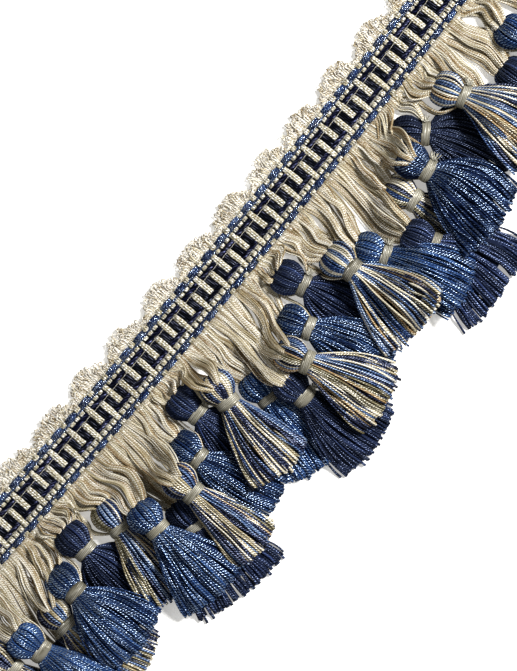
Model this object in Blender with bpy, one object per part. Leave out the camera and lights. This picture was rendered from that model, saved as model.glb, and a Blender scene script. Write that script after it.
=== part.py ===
# Tassel fringe trim: a cut length of woven braid heading with a scalloped picot edge, hung with yarn tassels.
# X runs along the trim, +Y is the picot side, the tassels lie toward -Y, and z = 0 is the surface it lies on.
# Everything is worked out on a straight plan, which the last step bends to the slight curve it lies in.
import math
from collections import namedtuple

import bmesh
import bpy
import numpy as np

MM = 0.001
GAP = 0.34 * MM              # clear space between neighbouring pieces
PICK = 2.5 * MM              # one weft pick of the braid
PICKS = 124
HALF_LENGTH = PICK * PICKS / 2
BOW_RADIUS = 3900 * MM       # the trim lies in a slight curve

# Heading: rows of its upper face from the fringe edge to the picot edge.
# valley is the height between the bars; upper and lower are the heights on the two kinds of weft bar.
HeadingRow = namedtuple("HeadingRow", "y valley upper lower")
HEADING_ROWS = (
    HeadingRow(-10.7 * MM, 1.0 * MM, 1.2 * MM, 1.2 * MM),
    HeadingRow(-8.2 * MM, 1.4 * MM, 1.4 * MM, 1.4 * MM),
    HeadingRow(-6.0 * MM, 1.3 * MM, 1.3 * MM, 2.0 * MM),
    HeadingRow(-2.9 * MM, 1.5 * MM, 2.0 * MM, 2.0 * MM),
    HeadingRow(2.1 * MM, 1.5 * MM, 2.0 * MM, 2.0 * MM),
    HeadingRow(5.0 * MM, 1.3 * MM, 2.0 * MM, 1.3 * MM),
    HeadingRow(7.9 * MM, 1.4 * MM, 1.4 * MM, 1.4 * MM),
)
BAR_REPEAT = 4 * PICK        # an upper bar, a navy float, a lower bar and a navy float
SCALLOP = 8 * PICK           # one scallop of the picot edge
SCALLOP_VALLEY = -0.7 * MM   # x of a valley between two scallops
PICOT_LOW = 10.0 * MM        # reach of the picots in a valley
PICOT_RISE = 5.7 * MM        # how much further they reach at a crest
PICOT_NOTCH = 1.7 * MM       # depth of the notch between two bundles of loops
PICOT_FULLNESS = 0.8         # below 1 the crests are rounder than a sine
PICOT_THICK = 0.9 * MM

# Fringe: a narrow bound edge beside the heading, and the hanks of yarn that carry the tassels
STRIP_BACK = -11.04 * MM
STRIP_FRONT = -12.2 * MM
STRIP_THICK = 1.8 * MM
LOCKS_PER_HANK = 3
HANK_THICK = 1.6 * MM
HANK_FIRST = 2.4 * MM        # the first run, which stays in its own lane of the edge
HANK_RUN = 6.0 * MM          # about how long each further straight run of a hank is
HANK_WIDTH = 2.2 * MM        # one lock past its root
HANK_PITCH = 2.75 * MM

# Head of a tassel: cross-sections from the crown to the end of the neck, along the tassel.
# lift is the space below a section, down to the line on which the head rests.
HeadSection = namedtuple("HeadSection", "along half_width half_height lift")
HEAD = (
    HeadSection(0.0 * MM, 3.9 * MM, 1.7 * MM, 0.4 * MM),
    HeadSection(2.0 * MM, 5.5 * MM, 3.3 * MM, 0.0 * MM),
    HeadSection(5.8 * MM, 6.2 * MM, 4.0 * MM, 0.0 * MM),
    HeadSection(9.2 * MM, 4.3 * MM, 2.9 * MM, 1.1 * MM),
    HeadSection(13.0 * MM, 4.3 * MM, 2.9 * MM, 1.1 * MM),
)
HEAD_SIDES = 10
HEAD_LENGTH = HEAD[-1].along
TIE_WIDTH = 3.0 * MM
TIE_THICK = 0.6 * MM
TIE_MIDDLE = (HEAD[-2].along + HEAD[-1].along) / 2
TIE_START = TIE_MIDDLE - TIE_WIDTH / 2
HEAD_SLOPE_MOST = 0.6

# Skirt: a lower and an upper row of three locks, each in straight runs between stations
NECK_COLUMN = 0.64                       # centre of an outer lock, as a share of the neck's half width
SKIRT_STATIONS = (0.0, 0.3, 0.64, 1.0)   # shares of the skirt's length
SKIRT_FLARE = (0.0, 0.42, 0.76, 1.0)     # shares of its spread there
LOCK_THICK = 1.7 * MM
LOCK_TIP_THICK = 1.2 * MM
LockColumn = namedtuple("LockColumn", "side centre width length")
LOWER_LOCKS = (
    LockColumn(-1, -0.68, 0.58, 0.97),
    LockColumn(0, 0.00, 0.60, 1.04),
    LockColumn(1, 0.68, 0.58, 0.95),
)
UPPER_LOCKS = (
    LockColumn(-1, -0.50, 0.42, 0.92),
    LockColumn(0, 0.06, 0.50, 1.00),
    LockColumn(1, 0.56, 0.40, 0.94),
)

# One row for each tassel, in millimetres and degrees, from the left end of the trim.
# level is its place in the pile, from 0 at the bottom; lane is the left end of its hank's stretch of edge;
# swing bows the hank sideways; lean turns the tassel toward +X; spread is half the skirt's width at its tips.
Tassel = namedtuple("Tassel", "yarn level lane swing tie_x tie_y lean spread skirt")
TASSELS = (
    Tassel("navy", 0, -155.0, 0, -151.5, -27.0, 0, 9.0, 27),
    Tassel("mixed", 1, -144.4, 0, -144.2, -36.6, 0, 11.0, 29),
    Tassel("blue", 2, -137.5, 0, -132.8, -39.7, 0, 12.0, 29),
    Tassel("navy", 0, -127.0, 0, -127.5, -53.0, 0, 12.5, 26),
    Tassel("mixed", 1, -117.0, 0, -119.8, -40.6, 14, 12.0, 29),
    Tassel("blue", 2, -109.5, 0, -109.3, -35.2, 2, 13.0, 27),
    Tassel("navy", 0, -103.2, 0, -96.3, -28.1, -1, 10.0, 29),
    Tassel("mixed", 1, -89.4, -2, -82.3, -32.2, -9.5, 12.0, 28),
    Tassel("blue", 2, -77.5, 2, -73.7, -42.4, -6, 13.9, 29),
    Tassel("navy", 0, -68.0, 0, -65.0, -52.1, -11, 18.0, 27),
    Tassel("mixed", 3, -59.8, 0, -55.8, -43.6, 0, 9.5, 29),
    Tassel("blue", 1, -51.0, 0, -45.7, -37.3, 12, 9.5, 29),
    Tassel("navy", 0, -40.0, 0, -33.8, -26.8, -10, 10.0, 29),
    Tassel("mixed", 2, -26.2, 0, -23.7, -32.2, -8, 12.0, 29),
    Tassel("blue", 1, -17.5, 0, -13.6, -42.7, -13, 10.5, 28),
    Tassel("navy", 2, -7.0, 0, -4.9, -51.9, 5.6, 14.3, 28),
    Tassel("mixed", 3, 4.0, 0, 4.9, -44.7, 11, 13.0, 29),
    Tassel("blue", 1, 12.0, 0, 14.4, -37.6, 9, 9.5, 29),
    Tassel("navy", 0, 18.0, 1, 25.1, -26.5, 3, 10.0, 29),
    Tassel("mixed", 3, 31.8, 0, 39.9, -36.4, -4.7, 13.2, 29),
    Tassel("blue", 2, 46.0, 0, 51.3, -42.4, 12, 10.5, 29),
    Tassel("navy", 1, 58.5, -1, 64.9, -53.4, -3, 17.0, 27),
    Tassel("mixed", 0, 68.5, 0, 73.0, -38.2, 0, 10.0, 29),
    Tassel("blue", 1, 77.5, 0, 84.0, -35.2, -4, 12.0, 29),
    Tassel("navy", 0, 86.5, 0, 93.9, -26.5, 5, 10.0, 29),
    Tassel("mixed", 2, 100.5, -2, 112.3, -29.0, 6, 14.5, 29),
    Tassel("blue", 0, 114.5, 0, 116.0, -43.5, 0, 11.0, 28),
    Tassel("navy", 0, 123.5, 0, 129.3, -44.6, 0, 13.0, 29),
    Tassel("blue", 1, 134.0, 0, 141.0, -35.0, 0, 11.5, 29),
)

# The pile is worked out on a plan grid of heights
CELL = 0.25 * MM
SAMPLE = 0.2 * MM
PLAN_LOW = (-175 * MM, -100 * MM)
PLAN_HIGH = (175 * MM, 0.0)
SIDE_REACH = 0.4 * MM        # laid pieces count this much wider than they are
CLIMB = 1.1                  # steepest rise or fall of a lock or a hank
NEAR_END = 0.25              # share of a run that hangs on its nearer end
LIFT_STEP = 0.5 * MM
ROUNDS = 60
TINY = 0.005 * MM

# Colour, roughness and metallic value of each finish
FINISHES = {
    "braid": ((0.52, 0.47, 0.36, 1), 0.75, 0.0),
    "ecru": ((0.66, 0.59, 0.44, 1), 0.7, 0.0),
    "navy": ((0.018, 0.03, 0.11, 1), 0.55, 0.0),
    "blue": ((0.04, 0.12, 0.36, 1), 0.5, 0.0),
    "mixed": ((0.3, 0.28, 0.28, 1), 0.6, 0.0),
    "tie": ((0.5, 0.47, 0.38, 1), 0.4, 0.0),
}


def clear_scene():
    for thing in list(bpy.data.objects):
        bpy.data.objects.remove(thing, do_unlink=True)


def bend(mesh):
    # Wraps the straight plan round the bow's centre, which lies far out on the picot side.
    for vert in mesh.verts:
        x, y, z = vert.co
        turn = x / BOW_RADIUS
        reach = BOW_RADIUS - y
        vert.co = (reach * math.sin(turn), BOW_RADIUS - reach * math.cos(turn), z)


def make_object(name, bm, finish, collection):
    bend(bm)
    bmesh.ops.recalc_face_normals(bm, faces=bm.faces[:])
    mesh = bpy.data.meshes.new(name)
    bm.to_mesh(mesh)
    bm.free()
    thing = bpy.data.objects.new(name, mesh)
    collection.objects.link(thing)
    colour, roughness, metallic = FINISHES[finish]
    material = bpy.data.materials.new(name)
    material.use_nodes = True
    shader = material.node_tree.nodes["Principled BSDF"]
    shader.inputs["Base Color"].default_value = colour
    shader.inputs["Roughness"].default_value = roughness
    shader.inputs["Metallic"].default_value = metallic
    mesh.materials.append(material)
    return thing


def bar_kind(x):
    # Which weft bar lies at x: the bars and the navy floats between them take turns, pick by pick.
    quarter = round(4 * x / BAR_REPEAT) % 4
    return {1: "upper", 3: "lower"}.get(quarter, "valley")


def picot_reach(x, column):
    crest = abs(math.sin(math.pi * (x - SCALLOP_VALLEY) / SCALLOP)) ** PICOT_FULLNESS
    notch = PICOT_NOTCH * (column % 2)
    return PICOT_LOW + PICOT_RISE * crest - notch


def build_heading(collection):
    bm = bmesh.new()
    rows = len(HEADING_ROWS)
    bmesh.ops.create_grid(bm, x_segments=PICKS, y_segments=rows, size=0.5)
    top = bm.faces[:]
    for vert in bm.verts:
        column = round((vert.co.x + 0.5) * PICKS)
        row = round((vert.co.y + 0.5) * rows)
        x = column * PICK - HALF_LENGTH
        if row < rows:
            place = HEADING_ROWS[row]
            vert.co = (x, place.y, getattr(place, bar_kind(x)))
        else:
            vert.co = (x, picot_reach(x, column), PICOT_THICK)
    sunk = bmesh.ops.extrude_face_region(bm, geom=top, use_keep_orig=True)
    below = [item for item in sunk["geom"] if isinstance(item, bmesh.types.BMVert)]
    for vert in below:
        vert.co.z = 0
    # The flat underside needs no rows: only its cuts across the braid stay.
    under = set(below)
    inner = []
    for edge in bm.edges:
        low = all(vert in under for face in edge.link_faces for vert in face.verts)
        along = abs(edge.verts[0].co.x - edge.verts[1].co.x) > PICK / 2
        if low and along:
            inner.append(edge)
    bmesh.ops.dissolve_edges(bm, edges=inner, use_verts=True)
    return make_object("heading", bm, "braid", collection)


class Pile:
    # How high the laid pieces reach over each cell of the plan.
    def __init__(self):
        self.low = np.array(PLAN_LOW)
        size = np.ceil((np.array(PLAN_HIGH) - self.low) / CELL).astype(int) + 1
        self.top = np.zeros(size)

    def cells(self, points):
        index = np.floor((points - self.low) / CELL).astype(int)
        return tuple(np.clip(index, 0, np.array(self.top.shape) - 1).T)

    def stamp(self, points, heights):
        np.maximum.at(self.top, self.cells(points), heights)

    def read(self, points):
        return self.top[self.cells(points)]


def spread_samples(left, right, run):
    # Points all over one run of a strand's plan, and how far along the run each one is.
    ahead = max(np.linalg.norm(left[run + 1] - left[run]), np.linalg.norm(right[run + 1] - right[run]))
    across = max(np.linalg.norm(right[run] - left[run]), np.linalg.norm(right[run + 1] - left[run + 1]))
    part = np.linspace(0, 1, int(ahead / SAMPLE) + 2)[:, None]
    side = np.linspace(0, 1, int(across / SAMPLE) + 2)[None, :]
    edge_a = left[run] + part[..., None] * (left[run + 1] - left[run])
    edge_b = right[run] + part[..., None] * (right[run + 1] - right[run])
    points = edge_a + side[..., None] * (edge_b - edge_a)
    parts = np.broadcast_to(part, points.shape[:2])
    return points.reshape(-1, 2), parts.reshape(-1)


class Strand:
    # A flat lock of yarn: its plan edges, the height of its underside and its thickness at each station.
    def __init__(self, left, right, thick, own_runs=0):
        self.left = np.array(left)
        self.right = np.array(right)
        self.thick = np.array(thick)
        self.base = np.zeros(len(thick))
        self.free = np.ones(len(thick), bool)
        self.own_runs = own_runs     # runs at the root that nothing else crosses
        self.needs = []
        self.runs = np.linalg.norm(np.diff((self.left + self.right) / 2, axis=0), axis=1)

    def look_below(self, pile):
        self.needs = []
        for run in range(self.own_runs, len(self.runs)):
            points, part = spread_samples(self.left, self.right, run)
            self.needs.append((run, part, pile.read(points)))

    def raise_run(self, run, part, short, lack):
        # Lifts the free ends of a run by what it is short of at one place, or notes it for a fixed end.
        one, two = self.free[run], self.free[run + 1]
        if one and two:
            share = short / ((1 - part) ** 2 + part ** 2)
            self.base[run] += share * (1 - part)
            self.base[run + 1] += share * part
        elif two and part > NEAR_END:
            self.base[run + 1] += short / part
        elif one and part < 1 - NEAR_END:
            self.base[run] += short / (1 - part)
        else:
            end = 0 if (not one and part < 0.5) or two else 1
            lack[end] = max(lack[end], short)
            return False
        return True

    def settle(self):
        # Raises the free stations until each run clears what lies below, and returns what fixed ends lack.
        last = len(self.base) - 1
        steps = [(k, k + 1) for k in range(last)] + [(k + 1, k) for k in range(last)]
        for _ in range(ROUNDS):
            lack = np.zeros(2)
            moved = False
            for run, part, need in self.needs:
                short = need - (self.base[run] * (1 - part) + self.base[run + 1] * part)
                worst = int(np.argmax(short))
                if short[worst] > TINY:
                    moved |= self.raise_run(run, part[worst], short[worst], lack)
            for one, two in steps:
                short = self.base[two] - CLIMB * self.runs[min(one, two)] - self.base[one]
                if short > TINY and self.free[one]:
                    self.base[one] += short
                    moved = True
                elif short > TINY:
                    lack[min(one, 1)] = max(lack[min(one, 1)], short)
            if not moved:
                break
        return lack

    def stamp(self, pile):
        across = self.right - self.left
        across = across / np.linalg.norm(across, axis=1)[:, None] * SIDE_REACH
        left = self.left - across
        right = self.right + across
        ahead = (left[-1] + right[-1] - left[-2] - right[-2]) / 2
        ahead = ahead / np.linalg.norm(ahead) * SIDE_REACH
        left[-1] += ahead
        right[-1] += ahead
        tops = self.base + self.thick + GAP
        for run in range(self.own_runs, len(self.runs)):
            points, part = spread_samples(left, right, run)
            pile.stamp(points, tops[run] * (1 - part) + tops[run + 1] * part)

    def meets(self, other, station):
        # Whether two strands of one skirt overlap in plan at a station.
        reach = self.right[station] - self.left[station]
        width = np.linalg.norm(reach)
        places = [(edge[station] - self.left[station]) @ reach / width for edge in (other.left, other.right)]
        return min(places) < width + SIDE_REACH and max(places) > -SIDE_REACH

    def corners(self, station):
        low = self.base[station]
        high = low + self.thick[station]
        left = self.left[station]
        right = self.right[station]
        return {(0, 0): (*left, low), (1, 0): (*right, low), (0, 1): (*left, high), (1, 1): (*right, high)}


class Axes:
    # The plan directions of one tassel: its crown, along toward the tips, and across.
    def __init__(self, row):
        lean = math.radians(row.lean)
        self.along = np.array((math.sin(lean), -math.cos(lean)))
        self.across = np.array((math.cos(lean), math.sin(lean)))
        self.crown = np.array((row.tie_x * MM, row.tie_y * MM)) - self.along * TIE_MIDDLE

    def at(self, along, across):
        return self.crown + self.along * along + self.across * across


def head_samples(axes, reach):
    # Points over the head and its tie in plan, with the height of the head's underside and top at each.
    stations = [section.along for section in HEAD]
    band = TIE_THICK + GAP
    extra = [0, 0, 0, band, band]
    steps = np.linspace(0, HEAD_LENGTH, int(HEAD_LENGTH / SAMPLE) + 1)
    half = np.interp(steps, stations, [s.half_width + e for s, e in zip(HEAD, extra)])
    tall = np.interp(steps, stations, [s.half_height + e for s, e in zip(HEAD, extra)])
    lift = np.interp(steps, stations, [s.lift - e for s, e in zip(HEAD, extra)])
    width = half + reach
    side = np.linspace(-1, 1, int(2 * HEAD[2].half_width / SAMPLE) + 1)
    across = side[None, :] * width[:, None]
    arch = np.sqrt(np.clip(1 - side[None, :] ** 2, 0, 1)) * tall[:, None]
    along = np.broadcast_to(steps[:, None], across.shape)
    points = axes.crown + along[..., None] * axes.along + across[..., None] * axes.across
    middle = (lift + tall)[:, None]
    part = along / HEAD_LENGTH
    return points.reshape(-1, 2), part.reshape(-1), (middle - arch).reshape(-1), (middle + arch).reshape(-1)


def rest_head(axes, pile, line):
    # Rests a stiff straight line on the pile: line holds its heights at the crown and the neck's end.
    points, part, under, _ = head_samples(axes, 0)
    need = pile.read(points) - under
    for _ in range(ROUNDS):
        short = need - (line[0] * (1 - part) + line[1] * part)
        worst = int(np.argmax(short))
        if short[worst] > TINY:
            far = part[worst]
            share = short[worst] / ((1 - far) ** 2 + far ** 2)
            line[0] += share * (1 - far)
            line[1] += share * far
        fall = line[1] - line[0]
        most = HEAD_SLOPE_MOST * HEAD_LENGTH
        if abs(fall) > most:
            line[0 if fall > 0 else 1] = max(line) - most
    return line


def lane_edges():
    # Where each hank's stretch of the bound edge begins, and where the last one ends.
    return [row.lane * MM for row in TASSELS] + [HALF_LENGTH]


def plan_hank(row, axes, lane):
    # Three locks from the bound edge to the crown. Each starts in its own lane and ends along the tassel.
    strands = []
    reach = STRIP_FRONT - axes.at(-GAP, 0)[1]
    runs = max(0, round((reach - HANK_FIRST) / HANK_RUN))
    first = min(1.0, HANK_FIRST / reach) if runs else 1.0
    shares = [0.0] + [first + (1 - first) * run / max(runs, 1) for run in range(runs + 1)]
    width = (lane[1] - lane[0]) / LOCKS_PER_HANK
    middle = (lane[0] + lane[1]) / 2
    for lock in range(LOCKS_PER_HANK):
        side = lock - (LOCKS_PER_HANK - 1) / 2
        root = np.array((lane[0] + width * (lock + 0.5), STRIP_FRONT))
        near = np.array((middle + side * min(width, HANK_PITCH), STRIP_FRONT))
        tip = axes.at(-GAP, side * HANK_PITCH)
        left, right = [root - (width / 2, 0)], [root + (width / 2, 0)]
        for share in shares[1:]:
            late = (share - first) / (1 - first) if runs else 1.0
            ease = late * late * (3 - 2 * late)
            centre = near + (tip - near) * np.array((ease, share))
            centre[0] += row.swing * MM * math.sin(math.pi * late)
            across = np.array((1.0, 0.0)) * (1 - late) + axes.across * late
            left.append(centre - across * HANK_WIDTH / 2)
            right.append(centre + across * HANK_WIDTH / 2)
        strand = Strand(left, right, [STRIP_THICK] + [HANK_THICK] * (len(shares) - 1), own_runs=1)
        strand.free[0] = strand.free[-1] = False
        strands.append(strand)
    return strands


def plan_locks(row, axes, columns):
    # Three locks of one row of the skirt, fanned out from the neck.
    strands = []
    spread = row.spread * MM
    neck = HEAD[-1].half_width
    for column in columns:
        left, right, thick = [], [], []
        for share, flare in zip(SKIRT_STATIONS, SKIRT_FLARE):
            along = HEAD_LENGTH + row.skirt * MM * share * column.length
            start = column.side * neck * NECK_COLUMN
            centre = start + (column.centre * spread - start) * flare
            half = neck / 3 + (column.width * spread / 2 - neck / 3) * flare
            left.append(axes.at(along, centre - half))
            right.append(axes.at(along, centre + half))
            thick.append(LOCK_THICK + (LOCK_TIP_THICK - LOCK_THICK) * share)
        strand = Strand(left, right, thick)
        strand.free[0] = False
        strands.append(strand)
    return strands


def rest_upper(upper, lower):
    # Keeps each upper lock a gap above the lower locks that it crosses.
    for strand in upper:
        for station in range(1, len(strand.base)):
            near = [k for k in (station - 1, station, station + 1) if k < len(strand.base)]
            met = [lock for lock in lower if any(strand.meets(lock, k) for k in near)]
            tops = [lock.base[station] + lock.thick[station] + GAP for lock in met]
            strand.base[station] = max(tops, default=0)


class Laid:
    # One tassel in its place: its axes, the line its head rests on, its hank and the two rows of its skirt.
    def __init__(self, row, lane, pile):
        self.row = row
        self.axes = Axes(row)
        self.hank = plan_hank(row, self.axes, lane)
        self.lower = plan_locks(row, self.axes, LOWER_LOCKS)
        self.upper = plan_locks(row, self.axes, UPPER_LOCKS)
        for strand in self.hank + self.lower + self.upper:
            strand.look_below(pile)
        self.line = rest_head(self.axes, pile, np.zeros(2))
        for _ in range(ROUNDS):
            lack = self.lay()
            if lack.max() <= TINY:
                break
            self.line = rest_head(self.axes, pile, self.line + np.minimum(lack, LIFT_STEP))
        self.stamp(pile)

    def lay(self):
        # Hangs the hank and the skirt on the head where it is, and returns how much its two ends lack.
        crown = self.line[0] + HEAD[0].lift + HEAD[0].half_height - HANK_THICK / 2
        neck = self.line[1] + HEAD[-1].lift
        lack = np.zeros(2)
        for strand in self.hank:
            strand.base[:] = 0
            strand.base[-1] = crown
            lack[0] = max(lack[0], strand.settle()[1])
        for strand in self.lower:
            strand.base[:] = 0
            strand.base[0] = neck
            lack[1] = max(lack[1], strand.settle()[0])
        rest_upper(self.upper, self.lower)
        for strand in self.upper:
            strand.base[0] = neck + HEAD[-1].half_height
            lack[1] = max(lack[1], strand.settle()[0])
        return lack

    def stamp(self, pile):
        points, part, _, top = head_samples(self.axes, SIDE_REACH)
        pile.stamp(points, top + self.line[0] * (1 - part) + self.line[1] * part + GAP)
        for strand in self.hank + self.lower + self.upper:
            strand.stamp(pile)


def lay_all():
    # Lays the tassels from the bottom of the pile upward, and returns them in their order along the trim.
    pile = Pile()
    lanes = lane_edges()
    order = sorted(range(len(TASSELS)), key=lambda place: (TASSELS[place].level, place))
    laid = {}
    for place in order:
        laid[place] = Laid(TASSELS[place], (lanes[place], lanes[place + 1]), pile)
    return [laid[place] for place in range(len(TASSELS))]


def place_ring(verts, tassel, along, half_width, half_height, lift):
    # Sets a ring of vertices to an oval section that stands square to the tassel in plan.
    share = along / HEAD_LENGTH
    floor = tassel.line[0] * (1 - share) + tassel.line[1] * share + lift
    for place, vert in enumerate(verts):
        turn = 2 * math.pi * place / HEAD_SIDES
        point = tassel.axes.at(along, half_width * math.cos(turn))
        vert.co = (*point, floor + half_height * (1 + math.sin(turn)))


def pull_face(bm, face):
    # Extrudes one face by itself, and returns the new end face.
    return bmesh.ops.extrude_discrete_faces(bm, faces=[face])["faces"][0]


def split_neck(bm, cap):
    # Cuts the ten-sided end of the neck into two rows of three cells, the roots of the locks.
    ring = list(cap.verts)
    middles = []
    for one, two in ((2, 8), (3, 7)):
        holder = next(face for face in ring[one].link_faces if face in ring[two].link_faces)
        bmesh.utils.face_split(holder, ring[one], ring[two])
        edge = bm.edges.get((ring[one], ring[two]))
        middles.append(bmesh.utils.edge_split(edge, ring[one], 0.5)[1])
    rungs = ((ring[0], middles[0]), (middles[0], middles[1]), (middles[1], ring[5]))
    cells = []
    for one, two in rungs:
        holder = next(face for face in one.link_faces if face in two.link_faces)
        other = bmesh.utils.face_split(holder, one, two)[0]
        cells += [holder, other]
    return cells


def grow_lock(bm, face, strand, across):
    # Draws a four-sided lock out of a root cell, station by station.
    for station in range(1, len(strand.base)):
        face = pull_face(bm, face)
        verts = list(face.verts)
        middle = sum((vert.co for vert in verts), start=verts[0].co * 0) / len(verts)
        corners = strand.corners(station)
        for vert in verts:
            offset = vert.co - middle
            side = int(offset.x * across[0] + offset.y * across[1] > 0)
            vert.co = corners[side, int(offset.z > 0)]


def build_tassel(name, tassel, collection):
    # The head is drawn out of the crown section by section, and the locks out of the cells at its neck.
    bm = bmesh.new()
    crown = bmesh.ops.create_circle(bm, cap_ends=True, segments=HEAD_SIDES, radius=1)["verts"]
    cap = crown[0].link_faces[0]
    place_ring(cap.verts, tassel, *HEAD[0])
    for section in HEAD[1:]:
        cap = pull_face(bm, cap)
        place_ring(cap.verts, tassel, *section)
    bm.faces.new(crown)
    axes = tassel.axes
    neck = HEAD[-1]
    middle = tassel.line[1] + neck.lift + neck.half_height
    for cell in split_neck(bm, cap):
        centre = cell.calc_center_median()
        offset = (np.array(centre.xy) - axes.at(HEAD_LENGTH, 0)) @ axes.across
        column = round(offset / (neck.half_width * NECK_COLUMN)) + 1
        locks = tassel.upper if centre.z > middle else tassel.lower
        grow_lock(bm, cell, locks[column], axes.across)
    return make_object(name, bm, tassel.row.yarn, collection)


def build_tie(name, tassel, collection):
    # A flat band round the neck: its four edge rings, joined each to the next.
    bm = bmesh.new()
    neck = HEAD[-1]
    rings = []
    for thick, along in ((0, 0), (0, TIE_WIDTH), (TIE_THICK, TIE_WIDTH), (TIE_THICK, 0)):
        grow = GAP + thick
        ring = bmesh.ops.create_circle(bm, segments=HEAD_SIDES, radius=1)["verts"]
        sizes = (neck.half_width + grow, neck.half_height + grow, neck.lift - grow)
        place_ring(ring, tassel, TIE_START + along, *sizes)
        rings.append(ring)
    for ring, following in zip(rings, rings[1:] + rings[:1]):
        for place in range(HEAD_SIDES):
            after = (place + 1) % HEAD_SIDES
            bm.faces.new((ring[place], ring[after], following[after], following[place]))
    return make_object(name, bm, "tie", collection)


def build_fringe(laid, collection):
    # The bound edge is drawn out cell by cell along X, one cell for the root of each lock.
    bm = bmesh.new()
    bounds = [-HALF_LENGTH]
    lanes = lane_edges()
    for start, end in zip(lanes, lanes[1:]):
        bounds += [start + (end - start) * (lock + 1) / LOCKS_PER_HANK for lock in range(LOCKS_PER_HANK)]
    bmesh.ops.create_cube(bm, size=1)
    for vert in bm.verts:
        x = bounds[1] if vert.co.x > 0 else bounds[0]
        y = STRIP_BACK if vert.co.y > 0 else STRIP_FRONT
        vert.co = (x, y, STRIP_THICK if vert.co.z > 0 else 0)
    end_face = max(bm.faces, key=lambda face: face.calc_center_median().x)
    for x in bounds[2:]:
        end_face = pull_face(bm, end_face)
        for vert in end_face.verts:
            vert.co.x = x
    front = [face for face in bm.faces if all(abs(vert.co.y - STRIP_FRONT) < TINY for vert in face.verts)]
    front.sort(key=lambda face: face.calc_center_median().x)
    strands = [strand for tassel in laid for strand in tassel.hank]
    for face, strand in zip(front, strands):
        grow_lock(bm, face, strand, (1.0, 0.0))
    return make_object("fringe", bm, "ecru", collection)


def main():
    clear_scene()
    collection = bpy.data.collections.new("tassel_fringe_trim")
    bpy.context.scene.collection.children.link(collection)
    laid = lay_all()
    build_heading(collection)
    build_fringe(laid, collection)
    for number, tassel in enumerate(laid, start=1):
        build_tassel(f"tassel_{number:02d}", tassel, collection)
        build_tie(f"tie_{number:02d}", tassel, collection)


main()
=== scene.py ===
# Looks of the tassel fringe trim: braid, picot loops, ecru hanks, yarn tassels and their satin bindings.
# Places are millimetres on a straight plan, and wrapPlan lays them along the trim's slight curve, in metres.
import math
from collections import namedtuple

import bpy
import numpy as np
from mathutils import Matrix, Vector


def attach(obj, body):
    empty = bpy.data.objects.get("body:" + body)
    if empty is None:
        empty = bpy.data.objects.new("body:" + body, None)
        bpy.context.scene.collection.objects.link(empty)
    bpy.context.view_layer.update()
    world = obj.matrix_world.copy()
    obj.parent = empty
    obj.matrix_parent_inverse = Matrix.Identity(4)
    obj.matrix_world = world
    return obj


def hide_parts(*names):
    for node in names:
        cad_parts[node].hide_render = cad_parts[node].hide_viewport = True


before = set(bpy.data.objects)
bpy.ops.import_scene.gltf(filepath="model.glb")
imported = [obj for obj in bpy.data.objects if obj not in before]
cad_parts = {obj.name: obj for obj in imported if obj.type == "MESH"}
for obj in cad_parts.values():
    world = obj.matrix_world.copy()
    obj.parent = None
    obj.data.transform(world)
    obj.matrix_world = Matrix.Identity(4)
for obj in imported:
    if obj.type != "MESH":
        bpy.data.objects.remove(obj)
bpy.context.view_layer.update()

mm = 0.001
bowRadius = 3900.0
halfLength = 155.0
pick = 2.523             # one weft pick of the braid
plainFan = 1.08          # how much wider than its solid a skirt opens, as a rule

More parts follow.
